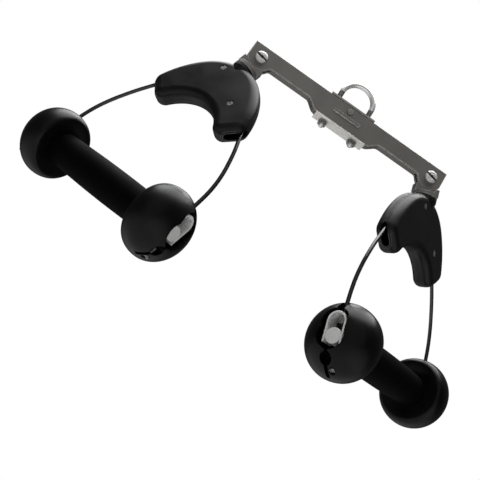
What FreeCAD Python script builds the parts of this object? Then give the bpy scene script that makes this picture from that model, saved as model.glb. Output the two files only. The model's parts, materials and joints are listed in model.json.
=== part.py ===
"""Twin-handle cable pulley attachment: a bar with a screw eye and two swivelling cable handles.

Frame: +Z up, millimetres. The origin is the top of the eye's inside, where a snap hook bears.
X runs along the bar and -Y is the front.

Each side has its own local frame, with its origin on the bar's end bolt, +Z up along the neck and
-Y the housing's front. The left and right sides are the same parts, placed twice.
"""
import FreeCAD, Part
import math
import os
import Sketcher

Vector = FreeCAD.Vector
Rotation = FreeCAD.Rotation
Placement = FreeCAD.Placement

X_AXIS = Vector(1, 0, 0)
Y_AXIS = Vector(0, 1, 0)
Z_AXIS = Vector(0, 0, 1)

# Driving dimensions: alias, value, meaning.
SIZES = [
    ("bolt_half_span", 96.0, "bar centre to an end bolt"),
    ("bar_half_length", 108.2, "bar centre to its end"),
    ("bar_top", 12.7, "bolt axis up to the bar's top edge"),
    ("bar_depth", 9.0, "bar thickness, front to back"),
    ("arm_drop", 4.3, "bolt axis down to the arm's lower edge"),
    ("middle_drop", 12.2, "bolt axis down to the middle's lower edge"),
    ("middle_half", 30.0, "half width of the middle at its lower edge"),
    ("step_half", 39.0, "half width of the middle at the arm's lower edge"),
    ("lobe_radius", 13.0, "rounded lobe round each end bolt"),
    ("slot_width", 3.6, "slot in the bar's ends for the block's tongue"),
    ("slot_top", 10.6, "bolt axis up to the slot's roof"),
    ("slot_reach", 14.0, "bolt axis inward to the slot's end"),
    ("edge_bevel", 0.6, "bevel round the bar's faces"),
    ("leg_half", 16.3, "bar centre to a leg of the U-bolt"),
    ("rod_radius", 2.6, "U-bolt rod"),
    ("leg_hole", 2.8, "radius of the holes for the legs"),
    ("arch_height", 23.4, "bolt axis up to the centre of the U-bolt's arch"),
    ("leg_drop", 21.0, "bolt axis down to the legs' ends"),
    ("saddle_half", 24.0, "half length of the saddle plate"),
    ("saddle_thick", 2.0, "saddle plate"),
    ("clamp_half", 27.0, "half length of the clamp plate"),
    ("clamp_thick", 2.4, "clamp plate"),
    ("saddle_depth", 9.4, "depth of the saddle plate"),
    ("clamp_depth", 11.0, "depth of the clamp plate"),
    ("nut_flats", 8.0, "U-bolt nut, across flats"),
    ("nut_height", 4.2, "U-bolt nut"),
    ("bolt_radius", 4.0, "end bolt's shank"),
    ("bolt_head", 5.9, "end bolt's head radius"),
    ("bolt_head_high", 2.2, "end bolt's head height"),
    ("bolt_nut_flats", 11.0, "end bolt's nut, across flats"),
    ("bolt_nut_high", 4.0, "end bolt's nut height"),
    ("tongue_thick", 3.0, "block's tongue"),
    ("tongue_radius", 10.0, "rounded top of the tongue"),
    ("bush_radius", 5.5, "tongue bush, outside radius"),
    ("seat_radius", 13.3, "block's hollow seat under the lobe"),
    ("horn_drop", 9.5, "bolt axis down to the top of the block's slab"),
    ("collar_radius", 12.0, "block's round collar"),
    ("collar_top", 17.0, "bolt axis down to the collar's shoulder"),
    ("collar_foot", 20.5, "bolt axis down to the collar's foot"),
    ("running_gap", 0.05, "radial clearance of a turning fit"),
    ("pin_thread", 3.0, "swivel pin's thread radius"),
    ("pin_radius", 3.5, "swivel pin's shank radius"),
    ("pin_head", 6.5, "swivel pin's head radius"),
    ("neck_foot", 38.3, "bolt axis down to the foot of the neck socket"),
    ("neck_radius", 12.0, "neck at its top"),
    ("neck_stem", 8.8, "neck's stem between the shells"),
    ("shell_half", 10.0, "housing's half thickness"),
    ("crown_radius", 50.0, "housing outline: top arc"),
    ("crown_turn", 45.0, "housing outline: top arc's half angle, degrees"),
    ("flank_radius", 85.0, "housing outline: flank arc"),
    ("crown_drop", 21.0, "bolt axis down to the top of the housing"),
    ("palm_radius", 39.9, "housing outline: hollow underside"),
    ("palm_turn", 56.0, "housing outline: hollow underside's half angle, degrees"),
    ("palm_drop", 73.5, "bolt axis down to the top of the hollow underside"),
    ("tip_reach", 58.6, "neck axis out to the lobe's outer corner"),
    ("tip_drop", 79.0, "bolt axis down to the lobe's outer corner"),
    ("foot_reach", 40.5, "neck axis out to the lobe's inner corner"),
    ("foot_drop", 94.9, "bolt axis down to the lobe's inner corner"),
    ("tip_round", 10.0, "rounding of the lobe's outer corner"),
    ("foot_round", 8.2, "rounding of the lobe's inner corner"),
    ("palm_round", 8.0, "rounding where the lobe meets the hollow underside"),
    ("shell_round", 7.5, "rounding of the housing's faces"),
    ("wall", 3.5, "housing wall"),
    ("room_depth", 7.0, "half depth of the housing's room"),
    ("track_radius", 59.0, "cable's arc in the housing"),
    ("track_drop", 101.0, "bolt axis down to the centre of the cable's arc"),
    ("cable_radius", 1.75, "coated cable"),
    ("roller_radius", 12.15, "guide roller's rim"),
    ("roller_width", 7.0, "guide roller"),
    ("axle_radius", 3.0, "guide roller's axle tube"),
    ("axle_length", 11.0, "guide roller's axle tube"),
    ("screw_radius", 1.5, "housing screw's shank"),
    ("screw_head", 2.8, "housing screw's head radius"),
    ("screw_head_high", 1.8, "housing screw's head height"),
    ("handle_drop", 186.8, "bolt axis down to the handle's axis"),
    ("shaft_radius", 6.75, "handle's shaft"),
    ("shaft_half", 90.9, "half length of the handle's shaft"),
    ("cable_offset", 82.8, "handle's centre to the cable's ends"),
    ("knob_inner", 61.1, "handle's centre to a knob's inner face"),
    ("knob_radius", 32.5, "knob"),
    ("knob_rim", 12.3, "knob's inner face to its widest circle"),
    ("knob_shoulder", 5.0, "knob's widest radius less its inner face's"),
    ("knob_length", 37.0, "knob's inner face to its outer end"),
    ("stirrup_offset", 84.6, "handle's centre to a stirrup's middle"),
    ("stirrup_width", 13.4, "stirrup strip, along the handle"),
    ("stirrup_outer", 8.5, "stirrup's outer half width"),
    ("stirrup_inner", 6.9, "stirrup's inner half width"),
    ("arch_rise", 12.0, "handle's axis up to the centre of the stirrup's arch"),
    ("leg_reach", 6.0, "handle's axis down to the stirrup's feet"),
    ("grip_half", 60.6, "half length of the grip"),
    ("grip_end_radius", 15.0, "grip at its ends"),
    ("grip_mid_radius", 16.1, "grip at its middle"),
    ("tube_radius", 10.5, "grip tube, outside"),
    ("tube_bore", 9.0, "grip tube, inside"),
    ("splay_angle", 14.6, "each housing's swing away from straight down, degrees"),
    ("left_turn", 32.8, "left housing's turn about its neck, degrees"),
    ("right_turn", 40.8, "right housing's turn about its neck, degrees"),
]

doc = FreeCAD.newDocument("pulley_attachment")
sheet = doc.addObject("Spreadsheet::Sheet", "Sizes")


class Size:
    """A number that also knows its spreadsheet expression."""

    def __init__(self, value, text):
        self.value = value
        self.text = text

    def join(self, other, sign, value):
        other_text = other.text if isinstance(other, Size) else repr(float(other))
        return Size(value, "(%s %s %s)" % (self.text, sign, other_text))

    def __add__(self, other):
        return self.join(other, "+", self.value + number(other))

    def __sub__(self, other):
        return self.join(other, "-", self.value - number(other))

    def __mul__(self, other):
        return self.join(other, "*", self.value * number(other))

    def __neg__(self):
        return self * -1


def number(size):
    return size.value if isinstance(size, Size) else float(size)


def fill_sheet():
    """Writes the driving dimensions to the sheet and returns them by name."""
    table = {}
    for row, (alias, value, meaning) in enumerate(SIZES, start=1):
        sheet.set("A%d" % row, str(value))
        sheet.setAlias("A%d" % row, alias)
        sheet.set("B%d" % row, meaning)
        table[alias] = Size(value, "Sizes." + alias)
    doc.recompute()
    return table


class Sizes:
    """Gives the driving dimensions as attributes."""

    def __init__(self, table):
        self.__dict__.update(table)


S = Sizes(fill_sheet())


def bind(thing, prop, size):
    """Sets a property and ties it to the sheet when its size comes from there."""
    setattr(thing, prop, number(size))
    if isinstance(size, Size):
        thing.setExpression(prop, size.text)


# ---------------------------------------------------------------- solids from primitives

AXIS_TURNS = {
    "z": Rotation(),
    "x": Rotation(Y_AXIS, 90),
    "y": Rotation(X_AXIS, -90),
}


def cylinder(radius, length, start, axis="z"):
    """A cylinder that starts at a point and runs along +x, +y or +z."""
    part = doc.addObject("Part::Cylinder", "cylinder")
    bind(part, "Radius", radius)
    bind(part, "Height", length)
    part.Placement = Placement(Vector(*[number(v) for v in start]), AXIS_TURNS[axis])
    return part


def cone(foot_radius, top_radius, length, start):
    """A cone on +z."""
    part = doc.addObject("Part::Cone", "cone")
    bind(part, "Radius1", foot_radius)
    bind(part, "Radius2", top_radius)
    bind(part, "Height", length)
    part.Placement = Placement(Vector(*[number(v) for v in start]), Rotation())
    return part


def box(size, centre, turn=None):
    """A box round a centre, turned about that centre."""
    part = doc.addObject("Part::Box", "box")
    for prop, length in zip(("Length", "Width", "Height"), size):
        bind(part, prop, length)
    half = Vector(*[number(length) / 2 for length in size])
    turn = turn or Rotation()
    middle = Vector(*[number(v) for v in centre])
    part.Placement = Placement(middle - turn.multVec(half), turn)
    return part


def torus(ring_radius, tube_radius, centre, axis="y"):
    part = doc.addObject("Part::Torus", "torus")
    bind(part, "Radius1", ring_radius)
    bind(part, "Radius2", tube_radius)
    part.Placement = Placement(Vector(*[number(v) for v in centre]), AXIS_TURNS[axis])
    return part


def dome(reach, radius, centre):
    """Half an ellipsoid that bulges to -x from a round foot."""
    part = doc.addObject("Part::Ellipsoid", "dome")
    bind(part, "Radius1", reach)
    bind(part, "Radius2", radius)
    bind(part, "Radius3", radius)
    part.Angle1 = 0
    part.Placement = Placement(Vector(*[number(v) for v in centre]), Rotation(Y_AXIS, -90))
    return part


def prism(flats, length, start, axis="z"):
    """A hexagonal prism, given its size across flats."""
    part = doc.addObject("Part::Prism", "prism")
    part.Polygon = 6
    bind(part, "Circumradius", flats * (1 / math.sqrt(3)))
    bind(part, "Height", length)
    part.Placement = Placement(Vector(*[number(v) for v in start]), AXIS_TURNS[axis])
    return part


def fuse(*pieces):
    if len(pieces) == 1:
        return pieces[0]
    part = doc.addObject("Part::MultiFuse", "fuse")
    part.Shapes = list(pieces)
    return part


def cut(base, *tools):
    part = doc.addObject("Part::Cut", "cut")
    part.Base = base
    part.Tool = fuse(*tools)
    return part


def group(*pieces):
    """Separate equal pieces kept in one node."""
    part = doc.addObject("Part::Compound", "group")
    part.Links = list(pieces)
    return part


# ---------------------------------------------------------------- bodies from sketches

def body_of(name):
    return doc.addObject("PartDesign::Body", name)


def sketch_on(body, role):
    """A sketch on one of its body's own origin planes."""
    sketch = body.newObject("Sketcher::SketchObject", "outline")
    plane = [item for item in body.Origin.OriginFeatures if item.Role == role][0]
    sketch.AttachmentSupport = [(plane, "")]
    sketch.MapMode = "FlatFace"
    return sketch


def arc_middle(start, end, radius, side):
    """The middle point of an arc of a radius that bulges to one side of its chord."""
    chord = end - start
    half = chord.Length / 2
    sag = radius - math.sqrt(max(radius ** 2 - half ** 2, 0.0))
    outward = Vector(-chord.y, chord.x, 0).normalize() * side
    return (start + end) * 0.5 + outward * sag


def pin_point(sketch, index, end, point):
    """Ties a sketch point to the sheet or to a plain distance from the origin."""
    for kind, size, axis_line in (("DistanceX", point[0], -2), ("DistanceY", point[1], -1)):
        if abs(number(size)) < 1e-9:
            sketch.addConstraint(Sketcher.Constraint("PointOnObject", index, end, axis_line))
            continue
        item = Sketcher.Constraint(kind, -1, 1, index, end, number(size))
        spot = sketch.addConstraint(item)
        if isinstance(size, Size):
            sketch.setExpression("Constraints[%d]" % spot, size.text)


def draw(sketch, points):
    """Closes an outline through points. A point is (x, y), or (x, y, radius, side) where an arc
    leaves it for the next point."""
    places = [Vector(number(p[0]), number(p[1]), 0) for p in points]
    ends = []
    for spot, point in enumerate(points):
        start = places[spot]
        finish = places[(spot + 1) % len(points)]
        if len(point) == 2:
            index = sketch.addGeometry(Part.LineSegment(start, finish))
            ends.append((index, 1, 2))
            continue
        middle = arc_middle(start, finish, number(point[2]), point[3])
        index = sketch.addGeometry(Part.Arc(start, middle, finish))
        forward = sketch.getPoint(index, 1).distanceToPoint(start) < 1e-6
        ends.append((index, 1, 2) if forward else (index, 2, 1))
        item = sketch.addConstraint(Sketcher.Constraint("Radius", index, number(point[2])))
        if isinstance(point[2], Size):
            sketch.setExpression("Constraints[%d]" % item, point[2].text)
    for spot, (index, first, last) in enumerate(ends):
        pin_point(sketch, index, first, points[spot])
        after, after_first, _ = ends[(spot + 1) % len(ends)]
        sketch.addConstraint(Sketcher.Constraint("Coincident", index, last, after, after_first))


def pad(body, points, length, role="XZ_Plane", midplane=True):
    sketch = sketch_on(body, role)
    draw(sketch, points)
    feature = body.newObject("PartDesign::Pad", "pad")
    feature.Profile = sketch
    feature.Midplane = midplane
    bind(feature, "Length", length)
    doc.recompute()
    return feature


def revolve(body, points, role="XZ_Plane", axis="H_Axis"):
    sketch = sketch_on(body, role)
    draw(sketch, points)
    feature = body.newObject("PartDesign::Revolution", "turn")
    feature.Profile = sketch
    feature.ReferenceAxis = (sketch, [axis])
    feature.Angle = 360
    doc.recompute()
    return feature


def edge_names(shape, wanted):
    """Names of a shape's edges that pass a test."""
    return ["Edge%d" % spot for spot, edge in enumerate(shape.Edges, start=1) if wanted(edge)]


def fillet(body, wanted, radius):
    base = body.Tip
    feature = body.newObject("PartDesign::Fillet", "fillet")
    feature.Base = (base, edge_names(base.Shape, wanted))
    bind(feature, "Radius", radius)
    doc.recompute()
    return feature


def chamfer(body, wanted, size):
    base = body.Tip
    feature = body.newObject("PartDesign::Chamfer", "bevel")
    feature.Base = (base, edge_names(base.Shape, wanted))
    bind(feature, "Size", size)
    doc.recompute()
    return feature


# ---------------------------------------------------------------- finished nodes

nodes = []


def node(part, name, placement):
    """Names a finished piece and puts it in its place."""
    part.Label = name
    part.Placement = placement.multiply(part.Placement)
    nodes.append(part)


EYE_TOP = number(S.arch_height) + number(S.leg_half) - number(S.rod_radius)
BAR_PLACE = Placement(Vector(0, 0, -EYE_TOP), Rotation())


def side_place(side, turn):
    """The local frame of one side: swung away from straight down, then turned about its neck."""
    swing = Rotation(Y_AXIS, -side * number(S.splay_angle))
    twist = Rotation(Z_AXIS, side * number(turn))
    return Placement(Vector(side * number(S.bolt_half_span), 0, -EYE_TOP), swing * twist)


# ---------------------------------------------------------------- bar, eye and end bolts

def make_bar():
    """Solid beam: arms, a deeper middle and a lobe round each bolt, slotted at both ends."""
    lobe_lift = math.sqrt(number(S.lobe_radius) ** 2
                          - number(S.bar_half_length - S.bolt_half_span) ** 2)
    lobe_run = math.sqrt(number(S.lobe_radius) ** 2 - number(S.arm_drop) ** 2)
    right = [
        (S.bar_half_length, S.bar_top),
        (S.bar_half_length, -lobe_lift, S.lobe_radius, 1),
        (S.bolt_half_span, -S.lobe_radius, S.lobe_radius, 1),
        (S.bolt_half_span - lobe_run, -S.arm_drop),
        (S.step_half, -S.arm_drop),
        (S.middle_half, -S.middle_drop),
    ]
    left = [
        (-S.middle_half, -S.middle_drop),
        (-S.step_half, -S.arm_drop),
        (-S.bolt_half_span + lobe_run, -S.arm_drop, S.lobe_radius, 1),
        (-S.bolt_half_span, -S.lobe_radius, S.lobe_radius, 1),
        (-S.bar_half_length, -lobe_lift),
        (-S.bar_half_length, S.bar_top),
    ]
    body = body_of("bar_body")
    pad(body, right + left, S.bar_depth)

    def across(edge, x_low, x_high):
        """True for an edge from front to back between two distances from the bar's centre."""
        here = edge.CenterOfMass
        runs = abs(edge.Length - number(S.bar_depth)) < 1e-3
        return runs and x_low < abs(here.x) < x_high and here.z < 0

    step = number(S.step_half)
    fillet(body, lambda e: across(e, step - 1, step + 1), 6.0)
    fillet(body, lambda e: across(e, number(S.middle_half) - 1, number(S.middle_half) + 1), 9.0)
    fillet(body, lambda e: across(e, 80, 86), 4.0)
    face_y = number(S.bar_depth) / 2

    def on_face(edge):
        bounds = edge.BoundBox
        return bounds.YLength < 1e-3 and abs(abs(bounds.YMin) - face_y) < 1e-3

    chamfer(body, on_face, S.edge_bevel)
    tools = []
    for side in (-1, 1):
        slot_length = number(S.slot_reach) + 20
        slot_x = side * (number(S.bolt_half_span) + (20 - number(S.slot_reach)) / 2)
        slot_size = (slot_length, S.slot_width, S.slot_top + 20)
        tools.append(box(slot_size, (slot_x, 0, (number(S.slot_top) - 20) / 2)))
        start = (side * number(S.bolt_half_span), -10, 0)
        tools.append(cylinder(S.bolt_radius + 0.1, 20, start, "y"))
        leg_x = side * number(S.leg_half)
        tools.append(cylinder(S.leg_hole, 40, (leg_x, 0, -20)))
    rib = box((28.0, 0.8, 3.2), (0, -number(S.bar_depth) / 2 - 0.2, 0.2))
    plug_hole = cylinder(3.0, 2.0, (0, -number(S.bar_depth) / 2 - 0.01, 7.2), "y")
    return cut(fuse(body, rib), plug_hole, *tools)


def make_u_bolt():
    """Bent rod: an arch on two straight legs."""
    arch = S.arch_height
    ring = torus(S.leg_half, S.rod_radius, (0, 0, arch))
    lower_half = box((60, 20, 30), (0, 0, number(arch) - 15))
    leg_length = arch + S.leg_drop
    legs = [cylinder(S.rod_radius, leg_length, (side * number(S.leg_half), 0, -S.leg_drop))
            for side in (-1, 1)]
    return fuse(cut(ring, lower_half), *legs)


def plate_with_legs(half_length, depth, thickness, foot):
    """A flat plate with two holes for the U-bolt's legs."""
    slab = box((half_length * 2, depth, thickness), (0, 0, foot + number(thickness) / 2))
    holes = [cylinder(S.leg_hole, 10, (side * number(S.leg_half), 0, foot - 4))
             for side in (-1, 1)]
    return cut(slab, *holes)


def make_u_bolt_nuts():
    top = -number(S.middle_drop + S.clamp_thick + S.nut_height)
    nuts = []
    for side in (-1, 1):
        start = (side * number(S.leg_half), 0, top)
        bore = cylinder(S.rod_radius, S.nut_height, start)
        nuts.append(cut(prism(S.nut_flats, S.nut_height, start), bore))
    return group(*nuts)


def make_pivot_bolts():
    """Shoulder bolts from the front: slotted head with a small centre hole."""
    face = -number(S.bar_depth) / 2
    bolts = []
    for side in (-1, 1):
        x = side * number(S.bolt_half_span)
        head_y = face - number(S.bolt_head_high)
        head = cylinder(S.bolt_head, S.bolt_head_high, (x, head_y, 0), "y")
        shank = cylinder(S.bolt_radius, S.bar_depth + S.bolt_nut_high + 0.8, (x, face, 0), "y")
        slot = box((20, 3.0, 2.2), (x, head_y, 0), Rotation(Y_AXIS, 12))
        centre_hole = prism(Size(3.0, "3.0"), 2.6, (x, head_y - 1, 0), "y")
        bolts.append(cut(fuse(head, shank), slot, centre_hole))
    return group(*bolts)


def make_pivot_nuts():
    back = number(S.bar_depth) / 2
    nuts = []
    for side in (-1, 1):
        start = (side * number(S.bolt_half_span), back, 0)
        bore = cylinder(S.bolt_radius, S.bolt_nut_high, start, "y")
        nuts.append(cut(prism(S.bolt_nut_flats, S.bolt_nut_high, start, "y"), bore))
    return group(*nuts)


def make_root():
    node(make_bar(), "bar", BAR_PLACE)
    node(make_u_bolt(), "u_bolt", BAR_PLACE)
    saddle = plate_with_legs(S.saddle_half, S.saddle_depth, S.saddle_thick, number(S.bar_top))
    node(saddle, "saddle_plate", BAR_PLACE)
    clamp_foot = -number(S.middle_drop + S.clamp_thick)
    clamp = plate_with_legs(S.clamp_half, S.clamp_depth, S.clamp_thick, clamp_foot)
    node(clamp, "clamp_plate", BAR_PLACE)
    node(make_u_bolt_nuts(), "u_bolt_nuts", BAR_PLACE)
    plug = cylinder(3.0, 2.59, (0, -number(S.bar_depth) / 2 - 0.6, 7.2), "y")
    node(plug, "centre_plug", BAR_PLACE)
    node(make_pivot_bolts(), "pivot_bolts", BAR_PLACE)
    node(make_pivot_nuts(), "pivot_nuts", BAR_PLACE)


# ---------------------------------------------------------------- swivel block and its pin

def make_block():
    """Tongue in the bar's slot, a slab with a hollow seat under the lobe, and a round collar."""
    horn_x = math.sqrt(number(S.seat_radius) ** 2 - number(S.horn_drop) ** 2)
    body = body_of("block_body")
    pad(body, [
        (S.collar_radius - 0.2, -S.collar_top - 0.5),
        (-S.collar_radius + 0.2, -S.collar_top - 0.5),
        (-S.collar_radius + 0.2, -S.horn_drop),
        (-horn_x, -S.horn_drop, S.seat_radius, -1),
        (horn_x, -S.horn_drop),
        (S.collar_radius - 0.2, -S.horn_drop),
    ], S.bar_depth)
    tongue_x = 8.5
    tongue_z = -math.sqrt(number(S.tongue_radius) ** 2 - tongue_x ** 2)
    pad(body, [
        (tongue_x, -S.collar_top),
        (-tongue_x, -S.collar_top),
        (-tongue_x, tongue_z, S.tongue_radius, 1),
        (0.0, S.tongue_radius, S.tongue_radius, 1),
        (tongue_x, tongue_z),
    ], S.tongue_thick)
    collar = cylinder(S.collar_radius, S.collar_foot - S.collar_top, (0, 0, -S.collar_foot))
    bush_bore = cylinder(S.bush_radius, 20, (0, -10, 0), "y")
    thread = cylinder(S.pin_thread, 6.5, (0, 0, -S.collar_foot))
    return cut(fuse(body, collar), bush_bore, thread)


def ring(outer, inner, length, start, axis="z"):
    return cut(cylinder(outer, length, start, axis), cylinder(inner, length, start, axis))


PIN_HEAD_TOP = -33.0
SHELF = -31.5


def make_swivel_pin():
    """Headed pin: threaded into the block, plain where the neck turns, slotted head below."""
    foot = number(S.collar_foot)
    thread = cylinder(S.pin_thread, 6.5, (0, 0, -foot))
    shank = cylinder(S.pin_radius, -foot - PIN_HEAD_TOP, (0, 0, PIN_HEAD_TOP))
    head = cylinder(S.pin_head, 3.0, (0, 0, PIN_HEAD_TOP - 3.0))
    slot = box((20, 1.6, 2.4), (0, 0, PIN_HEAD_TOP - 3.0))
    return cut(fuse(thread, shank, head), slot)


def make_neck_socket():
    """Turned neck: wide top under the collar, tapering to a stem held between the shells."""
    top = -number(S.collar_foot) - 0.5
    foot = -number(S.neck_foot)
    wide = cylinder(S.neck_radius, 3.0, (0, 0, top - 3.0))
    taper = cone(S.neck_radius - 1.7, S.neck_radius, 5.5, (0, 0, top - 8.5))
    stem = cylinder(S.neck_stem, top - 8.5 - foot, (0, 0, foot))
    bore = cylinder(S.pin_radius + S.running_gap, 40, (0, 0, -S.neck_foot))
    chamber = cylinder(S.pin_head + 0.4, SHELF - foot, (0, 0, foot))
    return cut(fuse(wide, taper, stem), bore, chamber)


# ---------------------------------------------------------------- housing

SCREW_NEAR_NECK = (-11.0, -34.0)
ROLLER_SPOTS = [(-28.0, -63.5), (0.0, -54.2), (28.0, -63.5)]
TILT_LIMIT = 12.0
CAP_SLOT_MIDDLE = 8.0
CAP_SLOT_RUN = 5.5
CAP_SLOT_WIDTH = 7.0
CAP_SLOT_DEPTH = 14.0


def polar(centre, radius, turn):
    """The point at a radius from a centre, turned away from straight up, in degrees."""
    angle = math.radians(turn)
    return Vector(centre.x + radius * math.sin(angle), centre.y + radius * math.cos(angle), 0)


LOBE_TIP = Vector(number(S.tip_reach), -number(S.tip_drop), 0)
LOBE_FOOT = Vector(number(S.foot_reach), -number(S.foot_drop), 0)
CAP_LINE = (LOBE_FOOT - LOBE_TIP).normalize()


def outline_half(inset):
    """Corners of the crescent's right half, from the crown to the palm, moved inward by an inset."""
    crown = number(S.crown_radius)
    flank = number(S.flank_radius)
    palm = number(S.palm_radius)
    crown_turn = number(S.crown_turn)
    crown_centre = Vector(0, -number(S.crown_drop) - crown, 0)
    flank_centre = polar(crown_centre, crown - flank, crown_turn)
    palm_centre = Vector(0, -number(S.palm_drop) - palm, 0)
    crown_end = polar(crown_centre, crown - inset, crown_turn)
    palm_end = polar(palm_centre, palm + inset, number(S.palm_turn))
    inward = Vector(CAP_LINE.y, -CAP_LINE.x, 0)
    cap_start = LOBE_TIP + inward * inset
    along = (flank_centre - cap_start).dot(CAP_LINE)
    aside = (flank_centre - cap_start - CAP_LINE * along).Length
    tip = cap_start + CAP_LINE * (along - math.sqrt((flank - inset) ** 2 - aside ** 2))
    if (tip - cap_start).Length > flank:
        tip = cap_start + CAP_LINE * (along + math.sqrt((flank - inset) ** 2 - aside ** 2))
    foot = LOBE_FOOT + inward * inset - CAP_LINE * inset * 0.7
    return crown_end, tip, foot, palm_end


def crescent_points(inset):
    half = [(point.x, point.y) for point in outline_half(inset)]
    crown_end, tip, foot, palm_end = half
    left_crown, left_tip, left_foot, left_palm = [(-x, y) for x, y in half]
    crown = S.crown_radius - inset
    flank = S.flank_radius - inset
    return [
        left_crown + (crown, 1),
        crown_end + (flank, 1),
        tip,
        foot,
        palm_end + (S.palm_radius + inset, -1),
        left_palm,
        left_foot,
        left_tip + (flank, 1),
    ]


def cap_opening(side):
    """Long oval slot from the lobe's outer corner along its cap, for the cable to move in."""
    middle = LOBE_TIP + CAP_LINE * CAP_SLOT_MIDDLE
    turn = math.degrees(math.atan2(-CAP_LINE.y, -CAP_LINE.x))
    lean = Rotation(Y_AXIS, -side * turn)
    centre = Vector(side * middle.x, 0, middle.y)
    slab = box((CAP_SLOT_RUN * 2, CAP_SLOT_WIDTH, CAP_SLOT_DEPTH), centre, lean)
    along = lean.multVec(X_AXIS)
    inward = lean.multVec(Z_AXIS) * (-CAP_SLOT_DEPTH / 2)
    ends = []
    for end in (-1, 1):
        tube = cylinder(CAP_SLOT_WIDTH / 2, CAP_SLOT_DEPTH, (0, 0, 0))
        tube.Placement = Placement(centre + along * (CAP_SLOT_RUN * end) + inward, lean)
        ends.append(tube)
    return fuse(slab, *ends)


def cable_room():
    """Space that the cable sweeps in the housing: its arc and the straight run at each exit."""
    centre = Vector(0, 0, -number(S.track_drop))
    pieces = [torus(S.track_radius, S.cable_radius + 0.9, centre)]
    for side in (-1, 1):
        for tilt in (-TILT_LIMIT, 0.0, TILT_LIMIT):
            turn = side * 60.0 + tilt
            lean = Rotation(Y_AXIS, turn)
            start = centre + lean.multVec(Vector(0, 0, number(S.track_radius)))
            run = cylinder(S.cable_radius + 0.6, 22.0, (0, 0, 0))
            run.Placement = Placement(start, Rotation(Y_AXIS, turn + side * 90.0))
            pieces.append(run)
    return fuse(*pieces)


def make_shell_body():
    """Outer form of one half, from the parting plane to its face."""
    body = body_of("shell_body")
    pad(body, crescent_points(0.0), S.shell_half, midplane=False)
    face_y = -number(S.shell_half)

    def corner_at(edge, point):
        """True for the edge through the housing at a corner of its outline, on either half."""
        here = edge.CenterOfMass
        across = edge.BoundBox.YLength > 9.0
        return across and math.hypot(abs(here.x) - point.x, here.z - point.y) < 1.0

    crown_end, tip, foot, palm_end = outline_half(0.0)
    fillet(body, lambda e: corner_at(e, tip), S.tip_round)
    fillet(body, lambda e: corner_at(e, foot), S.foot_round)
    fillet(body, lambda e: corner_at(e, palm_end), S.palm_round)
    fillet(body, lambda e: abs(e.BoundBox.YMax - face_y) < 1e-3, S.shell_round)
    return body


def make_shell():
    """Front half of the housing. The rear half is the same part turned round the neck."""
    half = number(S.shell_half)
    hollow = body_of("hollow_body")
    pad(hollow, crescent_points(number(S.wall)), S.room_depth * 2)
    near_boss = cylinder(3.4, half - 1, (SCREW_NEAR_NECK[0], -half + 1, SCREW_NEAR_NECK[1]), "y")
    far_boss = cylinder(3.4, half - 1, (-SCREW_NEAR_NECK[0], -half + 1, SCREW_NEAR_NECK[1]), "y")
    seats = []
    for x, z in ROLLER_SPOTS:
        depth = half - number(S.axle_length) / 2 - 1
        seats.append(cylinder(4.4, depth, (x, -half + 1, z), "y"))
    walls = fuse(cut(make_shell_body(), hollow), near_boss, far_boss, *seats)

    tools = [cap_opening(-1), cap_opening(1), cable_room()]
    heads = [SCREW_NEAR_NECK, ROLLER_SPOTS[2]]
    tails = [(-SCREW_NEAR_NECK[0], SCREW_NEAR_NECK[1]), ROLLER_SPOTS[0]]
    for x, z in heads:
        tools.append(cylinder(S.screw_head + 0.2, 2.2, (x, -half - 0.01, z), "y"))
        tools.append(cylinder(S.screw_radius + 0.1, half + 1, (x, -half, z), "y"))
    for x, z in tails:
        tools.append(cylinder(S.screw_radius, half - 1.6, (x, -half + 1.6, z), "y"))
    top = -number(S.collar_foot) - 0.5
    tools.append(cylinder(S.neck_radius, 3.0, (0, 0, top - 3.0)))
    tools.append(cone(S.neck_radius - 1.7, S.neck_radius, 5.5, (0, 0, top - 8.5)))
    stem_length = top - 8.5 + number(S.neck_foot)
    tools.append(cylinder(S.neck_stem, stem_length, (0, 0, -S.neck_foot)))
    return cut(walls, *tools)


def make_housing_screws():
    """Four equal screws, two from each face."""
    half = number(S.shell_half)
    screws = []
    for turn in (0, 180):
        for x, z in (SCREW_NEAR_NECK, ROLLER_SPOTS[2]):
            head_y = -half + 2.2 - number(S.screw_head_high)
            head = cylinder(S.screw_head, S.screw_head_high, (x, head_y, z), "y")
            shank = cylinder(S.screw_radius, 15.0, (x, -half + 2.2, z), "y")
            slot = box((7, 1.6, 0.9), (x, head_y, z), Rotation(Y_AXIS, 35))
            screw = cut(fuse(head, shank), slot)
            screw.Placement = Placement(Vector(), Rotation(Z_AXIS, turn))
            screws.append(screw)
    return group(*screws)


def make_axles():
    """Three tubes that the rollers turn on, clamped between the shells."""
    length = number(S.axle_length)
    return group(*[ring(S.axle_radius, S.screw_radius, length, (x, -length / 2, z), "y")
                   for x, z in ROLLER_SPOTS])


def make_roller(spot):
    """Grooved guide roller."""
    x, z = spot
    width = number(S.roller_width)
    rim = cylinder(S.roller_radius, S.roller_width, (x, -width / 2, z), "y")
    bore = cylinder(S.axle_radius + S.running_gap, S.roller_width, (x, -width / 2, z), "y")
    groove = torus(S.roller_radius + 0.05, S.cable_radius + 0.3, (x, 0, z))
    return cut(rim, bore, groove)


# ---------------------------------------------------------------- cable

# Right half of the cable's route in the plane y = 0, as (x, drop below the bolt), from the knob up.
# The last run is tangent to the arc over the rollers, and meets its mirror image above them.
CABLE_END = 168.5
ARC_HALF_TURN = 60.0
CABLE_ROUTE = [
    (82.8, CABLE_END),
    (82.8, 148.0),
    (78.0, 124.0),
    (67.1, 99.2),
]


LONGEST_RUN_USED = 28.0


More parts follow.
